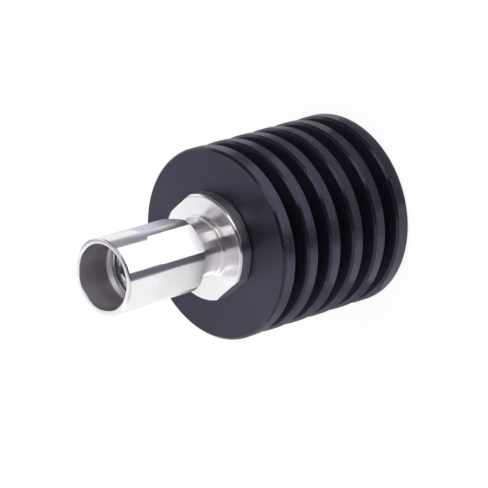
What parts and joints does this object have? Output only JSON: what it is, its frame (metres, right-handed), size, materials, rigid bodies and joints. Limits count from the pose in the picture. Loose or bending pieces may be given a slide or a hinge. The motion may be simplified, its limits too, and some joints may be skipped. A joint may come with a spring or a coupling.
{
  "type": "coaxial terminator",
  "caption": "Round coaxial terminator: a threaded plug with a coupling nut on a turned, ring-finned black heat sink that holds its load.",
  "frame": {"origin": "centre of the heat sink's flat rear face, which the part stands on", "axes": "+Z along the plug's axis from the rear face to the mouth; +X square to one wrench flat of the flange"},
  "size_m": [0.033, 0.033, 0.0556],
  "materials": {
    "black_anodised": "turned, black anodised, satin",
    "plated_body": "brass with bright white-metal plating",
    "plated_nut": "brass with bright white-metal plating",
    "spring_bronze": "plain spring bronze",
    "gasket_rubber": "moulded rubber",
    "plated_contact": "copper alloy with white-metal plating",
    "insulator": "white turned dielectric",
    "plated_pin": "copper alloy with white-metal plating",
    "load_brass": "turned brass",
    "resistive_film": "ceramic rod with a dark resistive film"
  },
  "bodies": {
    "terminator": {"heat_sink": "black_anodised", "connector_body": "plated_body", "snap_ring": "spring_bronze", "sealing_gasket": "gasket_rubber", "outer_contact": "plated_contact", "front_insulator": "insulator", "centre_pin": "plated_pin", "support_bead": "insulator", "taper_sleeve": "load_brass", "resistor_rod": "resistive_film", "resistor_front_cap": "load_brass", "resistor_rear_cap": "load_brass", "ground_plug": "load_brass"},
    "nut": {"coupling_nut": "plated_nut"}
  },
  "joints": [
    {"name": "nut_spin", "type": "hinge", "parent": "terminator", "child": "nut", "pos_m": [0, 0, 0.0401], "axis": [0, 0, 1], "continuous": true}
  ]
}
